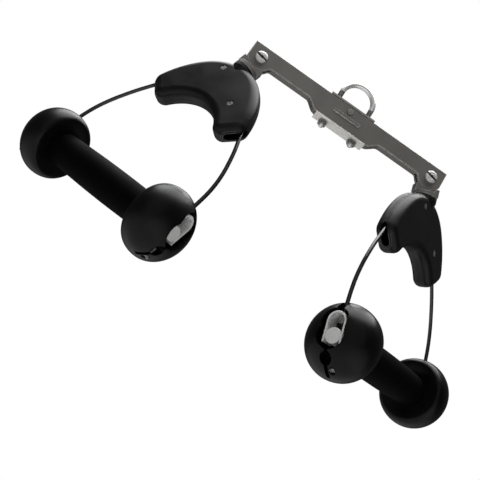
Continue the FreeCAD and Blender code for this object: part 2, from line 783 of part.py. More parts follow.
def rounded_path(points, crown_radius):
    """Straight runs joined by tangent arcs. The middle corner has a stated radius, and the others
    are as large as their two runs allow, where a run counts up to a longest length."""
    edges = []
    radii = []
    spot = points[0]
    crown = (len(points) - 3) // 2
    for index, (before, corner, after) in enumerate(zip(points, points[1:], points[2:])):
        into = (corner - before).normalize()
        out = (after - corner).normalize()
        turn = into.getAngle(out)
        run = min((corner - before).Length, (after - corner).Length, LONGEST_RUN_USED)
        radius = crown_radius if index == crown else 0.45 * run / math.tan(turn / 2)
        reach = radius * math.tan(turn / 2)
        start = corner - into * reach
        end = corner + out * reach
        inner = (out - into).normalize()
        middle = corner + inner * (radius / math.cos(turn / 2) - radius)
        edges.append(Part.LineSegment(spot, start).toShape())
        edges.append(Part.Arc(start, middle, end).toShape())
        radii.append(radius)
        spot = end
    edges.append(Part.LineSegment(spot, points[-1]).toShape())
    return Part.Wire(edges), radii


def make_cable():
    track = number(S.track_radius)
    apex = Vector(0, 0, track / math.cos(math.radians(ARC_HALF_TURN)) - number(S.track_drop))
    right = [Vector(x, 0, -drop) for x, drop in CABLE_ROUTE]
    left = [Vector(-p.x, 0, p.z) for p in reversed(right)]
    path, radii = rounded_path(right + [apex] + left, track)
    disc = Part.Wire([Part.Circle(right[0], Z_AXIS, number(S.cable_radius)).toShape()])
    tube = path.makePipeShell([disc], True, False)
    part = doc.addObject("Part::Feature", "cable")
    part.Shape = tube
    section = math.pi * number(S.cable_radius) ** 2
    print("cable length %.1f mm, volume ratio %.4f, arc radii %s" % (
        path.Length, tube.Volume / (section * path.Length), [round(r, 1) for r in radii]))
    return part


# ---------------------------------------------------------------- handle

def make_knob():
    """Knob at -x: rounded inner part, domed end, slotted for the cable and the stirrup."""
    inner = number(S.knob_inner)
    axis_z = -number(S.handle_drop)
    shaft = number(S.shaft_radius) + 0.05
    foot = -S.knob_inner - S.knob_rim
    body = body_of("knob_body")
    revolve(body, [
        (foot, 0.0),
        (foot, S.knob_radius, S.knob_rim, 1),
        (-S.knob_inner, S.knob_radius - S.knob_shoulder),
        (-S.knob_inner, 0.0),
    ])
    body.Placement = Placement(Vector(0, 0, axis_z), Rotation())
    end = dome(S.knob_length - S.knob_rim, S.knob_radius, (foot, 0, axis_z))

    pocket_x = -number(S.stirrup_offset) + number(S.stirrup_width) / 2 + 0.3
    reach = 40.0
    half = number(S.stirrup_outer) + 2.5
    arch = number(S.arch_rise)
    tools = [
        cylinder(shaft, reach, (-inner - reach + 1, 0, axis_z), "x"),
        cylinder(11.5, reach, (pocket_x - reach, 0, axis_z), "x"),
        cylinder(9.6, reach + 2.0, (pocket_x - reach, 0, axis_z), "x"),
        box((reach, half * 2, arch), (pocket_x - reach / 2, 0, axis_z + arch / 2)),
        cylinder(half, reach, (pocket_x - reach, 0, axis_z + arch), "x"),
        box((reach, 7.0, 30.0), (-78.6 - reach / 2, 0, axis_z + arch + 20.0)),
        box((reach, 3.4, 34.0), (-80.0 - reach / 2, 0, axis_z - 24.0)),
        cylinder(2.8, 20.0, (KNOB_SCREW[0], KNOB_SCREW[1], axis_z + KNOB_SCREW[2] - 20.0)),
        cylinder(1.25, 12.0, (KNOB_SCREW[0], KNOB_SCREW[1], axis_z + KNOB_SCREW[2])),
    ]
    return cut(fuse(body, end), *tools)


KNOB_SCREW = (-86.0, -4.9, -25.6)


def make_knob_screws():
    axis_z = -number(S.handle_drop)
    screws = []
    for turn in (0, 180):
        x, y, z = KNOB_SCREW
        head = cylinder(2.6, 1.6, (x, y, axis_z + z - 1.6))
        shank = cylinder(1.25, 9.0, (x, y, axis_z + z))
        slot = box((7, 0.7, 1.6), (x, y, axis_z + z - 1.6))
        screw = cut(fuse(head, shank), slot)
        screw.Placement = Placement(Vector(), Rotation(Z_AXIS, turn))
        screws.append(screw)
    return group(*screws)


def make_stirrup():
    """Bent strip over the shaft's end, with a hole for the cable in its arch."""
    centre_x = -number(S.stirrup_offset)
    x = centre_x - number(S.stirrup_width) / 2
    axis_z = -number(S.handle_drop)
    arch_z = axis_z + number(S.arch_rise)
    leg = S.arch_rise + S.leg_reach
    middle = (centre_x, 0, arch_z - number(leg) / 2)
    outer = fuse(cylinder(S.stirrup_outer, S.stirrup_width, (x, 0, arch_z), "x"),
                 box((S.stirrup_width, S.stirrup_outer * 2, leg), middle))
    inner = fuse(cylinder(S.stirrup_inner, 20, (x - 2, 0, arch_z), "x"),
                 box((20, S.stirrup_inner * 2, leg), middle))
    lower = box((20, S.stirrup_inner * 2, 40), (centre_x, 0, arch_z - 20.0))
    hole = cylinder(S.cable_radius + 0.3, 20, (-number(S.cable_offset), 0, arch_z))
    pin_hole = cylinder(2.0, 30, (centre_x, -15, axis_z), "y")
    return cut(outer, inner, lower, hole, pin_hole)


def make_stirrup_pins():
    axis_z = -number(S.handle_drop)
    length = number(S.stirrup_outer) * 2
    return group(*[cylinder(2.0, length, (side * number(S.stirrup_offset), -length / 2, axis_z), "y")
                   for side in (-1, 1)])


def make_ferrules():
    """Swaged stops on the cable's ends, under the stirrups' arches."""
    return group(*[cylinder(2.7, 6.0, (side * number(S.cable_offset), 0, -CABLE_END - 6.0))
                   for side in (-1, 1)])


def make_shaft():
    axis_z = -number(S.handle_drop)
    rod = cylinder(S.shaft_radius, S.shaft_half * 2, (-S.shaft_half, 0, axis_z), "x")
    holes = [cylinder(2.0, 30, (side * number(S.stirrup_offset), -15, axis_z), "y")
             for side in (-1, 1)]
    return cut(rod, *holes)


def make_grip_sleeve():
    """Moulded sleeve, slightly barrel shaped, with rounded ends."""
    body = body_of("grip_body")
    half = S.grip_half
    low = S.tube_radius
    end = S.grip_end_radius
    sag = number(S.grip_mid_radius) - number(S.grip_end_radius)
    chord = number(S.grip_half) - 1.5
    barrel = (chord ** 2 + sag ** 2) / (2 * sag)
    revolve(body, [
        (-half, low),
        (-half, end - 1.5, 1.5, 1),
        (-half + 1.5, end, barrel, 1),
        (half - 1.5, end, 1.5, 1),
        (half, end - 1.5),
        (half, low),
    ])
    body.Placement = Placement(Vector(0, 0, -number(S.handle_drop)), Rotation())
    return body


def make_grip_tube():
    axis_z = -number(S.handle_drop)
    return ring(S.tube_radius, S.tube_bore, S.grip_half * 2, (-S.grip_half, 0, axis_z), "x")


def make_grip_bushes():
    axis_z = -number(S.handle_drop)
    starts = (-number(S.grip_half), number(S.grip_half) - 12.0)
    return group(*[ring(S.tube_bore, S.shaft_radius + S.running_gap, 12.0, (x, 0, axis_z), "x")
                   for x in starts])


# ---------------------------------------------------------------- one side

HALF_TURN = Placement(Vector(), Rotation(Z_AXIS, 180))


def make_side(name, side, turn):
    """Every piece of one side. The ends of the handle are called a (-x) and b (+x)."""
    block_place = side_place(side, 0.0)
    place = side_place(side, turn)
    turned = place.multiply(HALF_TURN)
    bush_start = (0, -number(S.tongue_thick) / 2, 0)
    washer_start = (0, 0, PIN_HEAD_TOP)
    node(make_block(), name + "_swivel_block", block_place)
    bush = ring(S.bush_radius, S.bolt_radius + S.running_gap, S.tongue_thick, bush_start, "y")
    node(bush, name + "_pivot_bush", block_place)
    node(make_swivel_pin(), name + "_swivel_pin", block_place)
    washer = ring(S.pin_head - 0.1, S.pin_radius, SHELF - PIN_HEAD_TOP - 0.1, washer_start)
    node(washer, name + "_thrust_washer", block_place)
    node(make_neck_socket(), name + "_neck_socket", place)
    node(make_shell(), name + "_front_shell", place)
    node(make_shell(), name + "_rear_shell", turned)
    node(make_housing_screws(), name + "_housing_screws", place)
    node(make_axles(), name + "_roller_axles", place)
    for spot, roller_place in enumerate(ROLLER_SPOTS, start=1):
        node(make_roller(roller_place), "%s_roller_%d" % (name, spot), place)
    node(make_cable(), name + "_cable", place)
    node(make_ferrules(), name + "_ferrules", place)
    node(make_shaft(), name + "_handle_shaft", place)
    node(make_stirrup(), name + "_stirrup_a", place)
    node(make_stirrup(), name + "_stirrup_b", turned)
    node(make_stirrup_pins(), name + "_stirrup_pins", place)
    node(make_knob(), name + "_knob_a", place)
    node(make_knob(), name + "_knob_b", turned)
    node(make_knob_screws(), name + "_knob_screws", place)
    node(make_grip_tube(), name + "_grip_tube", place)
    node(make_grip_bushes(), name + "_grip_bushes", place)
    node(make_grip_sleeve(), name + "_grip_sleeve", place)


def check():
    """Stops if any object failed or any node isn't a valid solid."""
    for item in doc.Objects:
        if "Invalid" in item.State or "Error" in item.State:
            raise RuntimeError("%s (%s): %s" % (item.Name, item.Label, item.State))
    for item in nodes:
        shape = item.Shape
        if shape.isNull() or not shape.isValid() or not shape.Solids:
            raise RuntimeError("%s has no valid solid" % item.Label)


def write():
    os.makedirs("parts", exist_ok=True)
    for item in nodes:
        item.Shape.exportStep(os.path.join("parts", item.Label + ".step"))
        print("%-24s solids %d volume %.1f" % (item.Label, len(item.Shape.Solids), item.Shape.Volume))


make_root()
make_side("left", -1, S.left_turn)
make_side("right", 1, S.right_turn)
doc.recompute()
check()
write()
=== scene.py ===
"""Looks of the twin-handle pulley attachment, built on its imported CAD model."""

import json
import math

import bpy
from mathutils import Matrix, Vector


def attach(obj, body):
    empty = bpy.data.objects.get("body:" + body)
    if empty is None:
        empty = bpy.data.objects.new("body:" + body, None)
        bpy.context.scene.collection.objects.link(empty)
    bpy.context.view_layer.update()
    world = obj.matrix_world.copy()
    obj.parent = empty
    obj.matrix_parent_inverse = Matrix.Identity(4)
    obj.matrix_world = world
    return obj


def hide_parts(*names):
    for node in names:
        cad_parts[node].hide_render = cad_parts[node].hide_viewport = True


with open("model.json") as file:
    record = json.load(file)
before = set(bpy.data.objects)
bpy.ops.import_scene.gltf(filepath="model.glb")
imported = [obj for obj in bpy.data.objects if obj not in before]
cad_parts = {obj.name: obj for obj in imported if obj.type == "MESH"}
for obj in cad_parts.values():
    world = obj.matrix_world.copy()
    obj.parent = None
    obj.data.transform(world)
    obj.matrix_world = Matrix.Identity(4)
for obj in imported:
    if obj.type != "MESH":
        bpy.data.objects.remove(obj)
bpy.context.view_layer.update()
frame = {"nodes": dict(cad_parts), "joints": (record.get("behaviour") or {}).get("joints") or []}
MM = 0.001

# ---------------------------------------------------------------- places taken from the frame

joints = {joint["name"]: joint for joint in frame["joints"]}
SIDES = ("left", "right")


def side_matrix(name):
    """One side's local frame: origin on its end bolt, +Z up the neck, -Y the housing's front."""
    up = Vector(joints[name + "_swivel"]["axis"]).normalized()
    depth = Vector(joints[name + "_tilt"]["axis"]).normalized()
    across = depth.cross(up)
    origin = Vector(joints[name + "_swing"]["pos_m"])
    matrix = Matrix((across, depth, up)).transposed().to_4x4()
    matrix.translation = origin
    return matrix


side_frames = {name: side_matrix(name) for name in SIDES}
bolt_height = side_frames["left"].translation.z
bar_frame = Matrix.Translation((0, 0, bolt_height))

# ---------------------------------------------------------------- materials

BROAD_SCALE = 38.0
COAT_ROUGHNESS = 0.12
USUAL_RANGE = (0.3, 0.7)
BROAD_SHARE = (0.15, 0.55)
FINE_SHARE = (0.1, 0.4)
RELIEF_STRENGTH = 0.6
BEVEL_SAMPLES = 4
# Where the painted edge highlight falls: how sharp the bend must be, and how far from facing up.
HIGHLIGHT_BEND = (0.93, 0.99)
HIGHLIGHT_FACING = (-0.1, 0.15)


class Nodes:
    """Small helper for a material's node tree."""

    def __init__(self, name):
        self.material = bpy.data.materials.new(name)
        self.material.use_nodes = True
        self.tree = self.material.node_tree
        self.tree.nodes.clear()
        self.output = self.add("ShaderNodeOutputMaterial")
        self.shader = self.add("ShaderNodeBsdfPrincipled")
        self.join(self.shader, "BSDF", self.output, "Surface")
        self.place = self.add("ShaderNodeTexCoord")

    def add(self, kind, **values):
        node = self.tree.nodes.new(kind)
        for key, value in values.items():
            if key in node.inputs:
                node.inputs[key].default_value = value
            else:
                setattr(node, key, value)
        return node

    def join(self, source, output, target, socket):
        self.tree.links.new(source.outputs[output], target.inputs[socket])

    def noise(self, scale, detail, stretch=(1, 1, 1)):
        """Noise in the model's own frame, in cells per metre, stretched along an axis if asked."""
        mapping = self.add("ShaderNodeMapping", Scale=stretch)
        self.join(self.place, "Object", mapping, "Vector")
        texture = self.add("ShaderNodeTexNoise", Scale=scale, Detail=detail, Roughness=0.55)
        self.join(mapping, "Vector", texture, "Vector")
        return texture

    def span(self, source, output, low, high, start=USUAL_RANGE[0], end=USUAL_RANGE[1]):
        """Maps a texture's usual range on to low..high."""
        spread = self.add("ShaderNodeMapRange")
        for key, value in zip(("From Min", "From Max", "To Min", "To Max"),
                              (start, end, low, high)):
            spread.inputs[key].default_value = value
        self.join(source, output, spread, "Value")
        return spread


def painted_edge_highlight(nodes, colour_from, rounded, edge_highlight):
    """Paints a highlight: mixes a lighter colour into a colour along the edges that face sideways
    or down.
    """
    shape = nodes.add("ShaderNodeNewGeometry")
    bend = nodes.add("ShaderNodeVectorMath", operation="DOT_PRODUCT")
    nodes.tree.links.new(shape.outputs["True Normal"], bend.inputs[0])
    nodes.tree.links.new(rounded.outputs["Normal"], bend.inputs[1])
    sharp = nodes.span(bend, "Value", 1.0, 0.0, *HIGHLIGHT_BEND)
    parts = nodes.add("ShaderNodeSeparateXYZ")
    nodes.join(rounded, "Normal", parts, "Vector")
    lower = nodes.span(parts, "Z", 1.0, 0.0, *HIGHLIGHT_FACING)
    both = nodes.add("ShaderNodeMath", operation="MULTIPLY")
    nodes.tree.links.new(sharp.outputs["Result"], both.inputs[0])
    nodes.tree.links.new(lower.outputs["Result"], both.inputs[1])
    mix = nodes.add("ShaderNodeMixRGB")
    mix.inputs["Color2"].default_value = (*edge_highlight, 1)
    nodes.join(both, "Value", mix, "Fac")
    nodes.join(colour_from, "Color", mix, "Color1")
    nodes.join(mix, "Color", nodes.shader, "Base Color")


def surface(name, colour, rough, metallic=0.0, grain=900.0, relief=0.00002, mottle=0.12,
            rough_spread=0.08, edge=0.0003, coat=0.0, stretch=(1, 1, 1), specular=0.5,
            edge_highlight=None):
    """Procedural finish: mottled colour, uneven gloss, fine relief, softened edges and, if asked,
    a painted highlight along edges that face sideways or down.
    """
    nodes = Nodes(name)
    shader = nodes.shader
    shader.inputs["Metallic"].default_value = metallic
    shader.inputs["Coat Weight"].default_value = coat
    shader.inputs["Coat Roughness"].default_value = COAT_ROUGHNESS
    shader.inputs["Specular IOR Level"].default_value = specular

    broad = nodes.noise(BROAD_SCALE, 4.0)
    fine = nodes.noise(grain, 5.0, stretch)
    ramp = nodes.add("ShaderNodeValToRGB")
    low = [channel * (1 - mottle) for channel in colour]
    high = [min(1.0, channel * (1 + mottle)) for channel in colour]
    ramp.color_ramp.elements[0].position = USUAL_RANGE[0]
    ramp.color_ramp.elements[0].color = (*low, 1)
    ramp.color_ramp.elements[1].position = USUAL_RANGE[1]
    ramp.color_ramp.elements[1].color = (*high, 1)
    blend = nodes.add("ShaderNodeMath", operation="ADD")
    half_broad = nodes.span(broad, "Fac", *BROAD_SHARE)
    half_fine = nodes.span(fine, "Fac", *FINE_SHARE)
    nodes.tree.links.new(half_broad.outputs["Result"], blend.inputs[0])
    nodes.tree.links.new(half_fine.outputs["Result"], blend.inputs[1])
    nodes.join(blend, "Value", ramp, "Fac")
    nodes.join(ramp, "Color", shader, "Base Color")

    gloss = nodes.span(blend, "Value", rough - rough_spread, rough + rough_spread)
    nodes.join(gloss, "Result", shader, "Roughness")

    relief_node = nodes.add("ShaderNodeBump", Strength=RELIEF_STRENGTH, Distance=relief)
    nodes.join(fine, "Fac", relief_node, "Height")
    if edge:
        rounded = nodes.add("ShaderNodeBevel", Radius=edge)
        rounded.samples = BEVEL_SAMPLES
        nodes.join(rounded, "Normal", relief_node, "Normal")
    nodes.join(relief_node, "Normal", shader, "Normal")
    # A painted highlight, a lighter colour, along the edges that face sideways or down.
    if edge_highlight:
        painted_edge_highlight(nodes, ramp, rounded, edge_highlight)
    return nodes.material


# The bar and the block get a painted highlight, a lighter colour, along their sideways and
# downward edges.
BAR_PAINT = surface("bar_paint", (0.115, 0.111, 0.102), 0.44, metallic=0.25, grain=1500.0,
                    relief=0.000015, mottle=0.05, edge=0.0007, edge_highlight=(0.75, 0.74, 0.71))
SADDLE_PAINT = surface("saddle_paint", (0.2, 0.195, 0.18), 0.46, metallic=0.3, grain=1500.0,
                       relief=0.000015, mottle=0.06, edge=0.0004)
BLOCK_PAINT = surface("block_paint", (0.13, 0.126, 0.116), 0.4, metallic=0.3, grain=1500.0,
                      relief=0.000015, mottle=0.06, edge=0.0007, edge_highlight=(0.62, 0.61, 0.59))
ZINC = surface("zinc_steel", (0.72, 0.72, 0.71), 0.26, metallic=0.7, grain=300.0,
               relief=0.000002, mottle=0.06, edge=0.0)
# Dark steel as painted shade on the threads between the bar and the arch, and in the end bolts'
# slot and hole.
PAINTED_SHADE_STEEL = surface("painted_shade_steel", (0.13, 0.13, 0.13), 0.4, metallic=0.6, grain=300.0,
                       relief=0.000002, edge=0.0)
PLATE_STEEL = surface("plate_steel", (0.66, 0.65, 0.62), 0.4, metallic=0.4, grain=500.0,
                      mottle=0.08, stretch=(1, 9, 9))
DARK_STEEL = surface("dark_steel", (0.2, 0.2, 0.195), 0.34, metallic=0.6, mottle=0.2)
BRIGHT_STEEL = surface("bright_steel", (0.8, 0.8, 0.79), 0.3, metallic=0.4, grain=420.0,
                       mottle=0.1, relief=0.00003)
STIRRUP_STEEL = surface("stirrup_steel", (0.85, 0.85, 0.84), 0.24, metallic=0.35, grain=600.0,
                        mottle=0.08, edge=0.0004)
SHAFT_STEEL = surface("shaft_steel", (0.75, 0.75, 0.74), 0.36, metallic=0.35, grain=800.0,
                      mottle=0.1)
BRONZE = surface("bush_bronze", (0.42, 0.27, 0.11), 0.4, metallic=0.9)
NECK_BLACK = surface("neck_black", (0.003, 0.003, 0.003), 0.34, grain=1800.0, specular=0.26)
SHELL_BLACK = surface("shell_black", (0.0032, 0.0032, 0.0033), 0.34, grain=2600.0,
                      relief=0.000012, edge=0.0005, specular=0.2)
# The ridges' black is lighter than the shell's as a painted highlight; their higher gloss is a
# finish.
RIDGE_LIT_BLACK = surface("ridge_lit_black", (0.006, 0.006, 0.006), 0.26, grain=2600.0,
                      relief=0.000006, edge=0.0, specular=0.6)
KNOB_BLACK = surface("knob_black", (0.0015, 0.0015, 0.0016), 0.3, grain=2600.0,
                     relief=0.000012, edge=0.0006, specular=0.14)
BOLT_STEEL = surface("bolt_steel", (0.56, 0.56, 0.55), 0.34, metallic=0.6, grain=520.0,
                     mottle=0.16, relief=0.00005, edge=0.0004)
SCREW_STEEL = surface("screw_steel", (0.34, 0.34, 0.33), 0.26, metallic=0.8, edge=0.0002)
NYLON = surface("roller_nylon", (0.55, 0.54, 0.5), 0.45, mottle=0.05)
CABLE_COAT = surface("cable_coating", (0.003, 0.003, 0.003), 0.2, grain=3500.0,
                     relief=0.000004, coat=0.38, edge=0.0001)
GRIP_RUBBER = surface("grip_rubber", (0.0013, 0.0013, 0.0013), 0.6, grain=4200.0,
                      relief=0.00004, mottle=0.25, edge=0.0006, specular=0.02)

NODE_FINISH = {
    "bar": BAR_PAINT,
    "u_bolt": ZINC,
    "saddle_plate": SADDLE_PAINT,
    "clamp_plate": PLATE_STEEL,
    "u_bolt_nuts": DARK_STEEL,
    "centre_plug": DARK_STEEL,
    "pivot_bolts": BOLT_STEEL,
    "pivot_nuts": BOLT_STEEL,
    "swivel_block": BLOCK_PAINT,
    "pivot_bush": BRONZE,
    "swivel_pin": BRIGHT_STEEL,
    "thrust_washer": BRIGHT_STEEL,
    "neck_socket": NECK_BLACK,
    "front_shell": SHELL_BLACK,
    "rear_shell": SHELL_BLACK,
    "housing_screws": SCREW_STEEL,
    "roller_axles": BRIGHT_STEEL,
    "roller_1": NYLON,
    "roller_2": NYLON,
    "roller_3": NYLON,
    "cable": CABLE_COAT,
    "ferrules": DARK_STEEL,
    "handle_shaft": SHAFT_STEEL,
    "stirrup_a": STIRRUP_STEEL,
    "stirrup_b": STIRRUP_STEEL,
    "stirrup_pins": BRIGHT_STEEL,
    "knob_a": KNOB_BLACK,
    "knob_b": KNOB_BLACK,
    "knob_screws": SCREW_STEEL,
    "grip_tube": PLATE_STEEL,
    "grip_bushes": NYLON,
    "grip_sleeve": GRIP_RUBBER,
}


def finish_cad_nodes():
    """Gives every carried-over CAD node its finish."""
    for name, node in frame["nodes"].items():
        plain = name
        for side in SIDES:
            plain = plain.removeprefix(side + "_")
        node.data.materials.clear()
        node.data.materials.append(NODE_FINISH[plain])


finish_cad_nodes()

# ---------------------------------------------------------------- mesh helpers


def new_piece(name, points, faces, material, smooth=True):
    """A new object from points and faces, with one material."""
    mesh = bpy.data.meshes.new(name)
    mesh.from_pydata([tuple(p) for p in points], [], faces)
    mesh.validate()
    mesh.polygons.foreach_set("use_smooth", [smooth] * len(mesh.polygons))
    mesh.materials.append(material)
    piece = bpy.data.objects.new(name, mesh)
    bpy.context.collection.objects.link(piece)
    return piece


def ring_faces(rings, segments, closed=False):
    """Quads between rings of points, with capped ends unless the rings close on themselves."""
    faces = []
    for ring in range(rings if closed else rings - 1):
        after = (ring + 1) % rings
        for spot in range(segments):
            beside = (spot + 1) % segments
            faces.append((ring * segments + spot, ring * segments + beside,
                          after * segments + beside, after * segments + spot))
    if not closed:
        faces.append(tuple(reversed(range(segments))))
        faces.append(tuple((rings - 1) * segments + spot for spot in range(segments)))
    return faces


def spaced(points, step):
    """Points evenly spaced along a polyline, with the distance of each from its start."""
    found = []
    travelled = 0.0
    due = 0.0
    for start, end in zip(points, points[1:]):
        length = (end - start).length
        while due <= travelled + length and length > 0:
            found.append((start.lerp(end, (due - travelled) / length), due))
            due += step
        travelled += length
    found.append((points[-1], travelled))
    return found


def tube(name, points, side, radius, segments, step, material):
    """A tube along points in a plane whose normal is side; radius(distance, angle) shapes it."""
    stations = spaced(points, step)
    places = [place for place, _ in stations]
    cloud = []
    for spot, (place, distance) in enumerate(stations):
        before = places[max(spot - 1, 0)]
        after = places[min(spot + 1, len(places) - 1)]
        tangent = (after - before).normalized()
        normal = side.cross(tangent).normalized()
        for count in range(segments):
            angle = math.tau * count / segments
            reach = radius(distance, angle)
            offset = normal * math.cos(angle) + side * math.sin(angle)
            cloud.append(place + offset * reach)
    return new_piece(name, cloud, ring_faces(len(stations), segments), material)


def lathe(name, matrix, profile, segments, material, closed=True):
    """Turns a profile of (along, radius) pairs, in mm, round the local X axis."""
    cloud = []
    for along, radius in profile:
        for count in range(segments):
            angle = math.tau * count / segments
            point = Vector((along, radius * math.cos(angle), radius * math.sin(angle)))
            cloud.append(matrix @ (point * MM))
    return new_piece(name, cloud, ring_faces(len(profile), segments, closed), material)


# ---------------------------------------------------------------- cables

# Right half of the cable's route in its side's plane, in mm: (across, drop below the bolt).
CABLE_HALF = [
    (82.8, 168.5),
    (82.8, 148.0),
    (78.0, 124.0),
    (67.1, 99.2),
    (59.0, 85.2),
    (43.2, 57.8),
    (15.8, 42.0),
]
CABLE_RADIUS = 1.75 * MM
STRANDS = 7
STRAND_PITCH = 15.0 * MM


def route_line(points):
    """The smooth line of a route: an open NURBS spline with the points as control points."""
    curve = bpy.data.curves.new("route", "CURVE")
    curve.dimensions = "3D"
    curve.resolution_u = 24
    spline = curve.splines.new("NURBS")
    spline.points.add(len(points) - 1)
    for spot, point in zip(spline.points, points):
        spot.co = (*point, 1)
    spline.order_u = 3
    spline.use_endpoint_u = True
    guide = bpy.data.objects.new("route", curve)
    bpy.context.collection.objects.link(guide)
    bpy.context.view_layer.update()
    mesh = bpy.data.meshes.new_from_object(guide)
    line = [vertex.co.copy() for vertex in mesh.vertices]
    bpy.data.objects.remove(guide)
    bpy.data.curves.remove(curve)
    bpy.data.meshes.remove(mesh)
    return line


def strand_radius(distance, angle):
    """The coating follows the wire strands below it a little."""
    phase = STRANDS * (angle - math.tau * distance / STRAND_PITCH)
    return CABLE_RADIUS * (0.99 + 0.01 * math.cos(phase))


def make_cable(side):
    matrix = side_frames[side]
    right = [Vector((across, 0, -drop)) * MM for across, drop in CABLE_HALF]
    left = [Vector((-point.x, 0, point.z)) for point in reversed(right)]
    line = route_line([matrix @ point for point in right + left])
    depth = matrix.to_3x3() @ Vector((0, 1, 0))
    cable = tube(side + "_coated_cable", line, depth, strand_radius, 56, 0.5 * MM, CABLE_COAT)
    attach(cable, side + "_handle")
    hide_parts(side + "_cable")


# ---------------------------------------------------------------- U-bolt and nuts

LEG_HALF = 16.3
ROD_RADIUS = 2.6
ARCH_HEIGHT = 23.4
LEG_DROP = 21.0
THREAD_TOP = 22.6
THREAD_PITCH = 0.8
THREAD_DEPTH = 0.42
FOOT_LENGTH = 1.2
FOOT_BEVEL = 0.6
ARCH_STEPS = 48


def u_bolt_line():
    """Centre line of the U-bolt in the bar's frame, from one leg's foot to the other's."""
    line = [Vector((LEG_HALF, 0, -LEG_DROP)) * MM, Vector((LEG_HALF, 0, ARCH_HEIGHT)) * MM]
    for count in range(1, ARCH_STEPS):
        angle = math.pi * count / ARCH_STEPS
        line.append(Vector((LEG_HALF * math.cos(angle), 0,
                            ARCH_HEIGHT + LEG_HALF * math.sin(angle))) * MM)
    line.append(Vector((-LEG_HALF, 0, ARCH_HEIGHT)) * MM)
    line.append(Vector((-LEG_HALF, 0, -LEG_DROP)) * MM)
    return [bar_frame @ point for point in line]


def thread_radius(distance, angle):
    """Cut thread on both legs, fading out below the arch, with a bevelled foot."""
    length = 2 * (LEG_DROP + ARCH_HEIGHT) + math.pi * LEG_HALF
    along = min(distance / MM, length - distance / MM)
    fade = min(max(THREAD_TOP + LEG_DROP - along, 0.0), 1.0)
    wave = abs(((distance / MM / THREAD_PITCH - angle / math.tau) % 1.0) * 2 - 1)
    foot = min(max((FOOT_LENGTH - along) / FOOT_LENGTH, 0.0), 1.0) * FOOT_BEVEL
    return (ROD_RADIUS - fade * THREAD_DEPTH * wave - foot) * MM


def make_u_bolt():
    """The bright rod, with a second, dark material painted as shade on the threads above the bar's
    centre line.
    """
    rod = tube("threaded_u_bolt", u_bolt_line(), Vector((0, 1, 0)), thread_radius, 36,
               0.16 * MM, ZINC)
    # The threads above the bar's centre line get the dark steel as painted shade.
    rod.data.materials.append(PAINTED_SHADE_STEEL)
    top = bolt_height + THREAD_TOP * MM
    rod.data.polygons.foreach_set(
        "material_index", [int(bolt_height < face.center.z < top) for face in rod.data.polygons])
    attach(rod, "bar")
    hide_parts("u_bolt")


# Each nut's size in mm: (across flats, height, bore radius).
CLAMP_NUT = (8.0, 4.2, 2.6)
PIVOT_NUT = (11.0, 4.0, 4.0)
NUT_TURNS = (-6, 34)
BAR_UNDERSIDE = -12.2
CLAMP_THICKNESS = 2.4
PIVOT_NUT_FACE = 4.5
BORE_CHAMFER = 0.35
CORNER_CHAMFER = 0.55


def hex_nut(name, matrix, flats, height, bore, material):
    """Hexagonal nut along local Z from 0 to height, with turned corners and a bevelled bore."""
    segments = 96
    corner = flats / math.sqrt(3)
    flat_face = flats / 2 * 0.97
    turned = flats / 2 * 0.98
    profile = [
        (0.0, bore + BORE_CHAMFER, None),
        (0.0, flat_face, None),
        (0.0, None, turned),
        (CORNER_CHAMFER, None, corner),
        (height - CORNER_CHAMFER, None, corner),
        (height, None, turned),
        (height, flat_face, None),
        (height, bore + BORE_CHAMFER, None),
        (height - BORE_CHAMFER, bore, None),
        (BORE_CHAMFER, bore, None),
    ]
    cloud = []
    for level, plain, limit in profile:
        for count in range(segments):
            angle = math.tau * count / segments
            to_flat = (angle + math.pi / 6) % (math.pi / 3) - math.pi / 6
            reach = plain if limit is None else min(flats / 2 / math.cos(to_flat), limit)
            point = Vector((reach * math.cos(angle), reach * math.sin(angle), level))
            cloud.append(matrix @ (point * MM))
    return new_piece(name, cloud, ring_faces(len(profile), segments, closed=True), material,
                     smooth=False)


def make_nuts():
    """Two nuts under the clamp plate and one behind each end bolt."""
    lower = BAR_UNDERSIDE - CLAMP_THICKNESS - CLAMP_NUT[1]
    under = []
    behind = []
    for end, side, degrees in zip((-1, 1), SIDES, NUT_TURNS):
        place = bar_frame @ Matrix.Translation(Vector((end * LEG_HALF, 0, lower)) * MM)
        turn = Matrix.Rotation(math.radians(degrees), 4, "Z")
        under.append(hex_nut(side + "_clamp_nut", place @ turn, *CLAMP_NUT, DARK_STEEL))
        face = Vector((0, PIVOT_NUT_FACE, 0)) * MM
        bolt = Matrix.Translation(side_frames[side].translation + face)
        back = bolt @ Matrix.Rotation(math.radians(-90), 4, "X")
        behind.append(hex_nut(side + "_bolt_nut", back, *PIVOT_NUT, BRIGHT_STEEL))
    for nut in under:
        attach(nut, "bar")
    for nut in behind:
        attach(nut, "bar")
    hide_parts("u_bolt_nuts")
    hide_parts("pivot_nuts")


# ---------------------------------------------------------------- end bolts

BOLT_FACE = -4.5
BOLT_HEAD = 5.9
BOLT_HEAD_HIGH = 2.2
BOLT_SHANK = 4.0
BOLT_END = 9.3
SLOT_TILT = 12
SLOT_REACH = 20.0
SLOT_HALF = 1.1
SLOT_DEPTH = 1.5
HEXAGON_RADIUS = 1.75
HEXAGON_DEPTH = 2.6


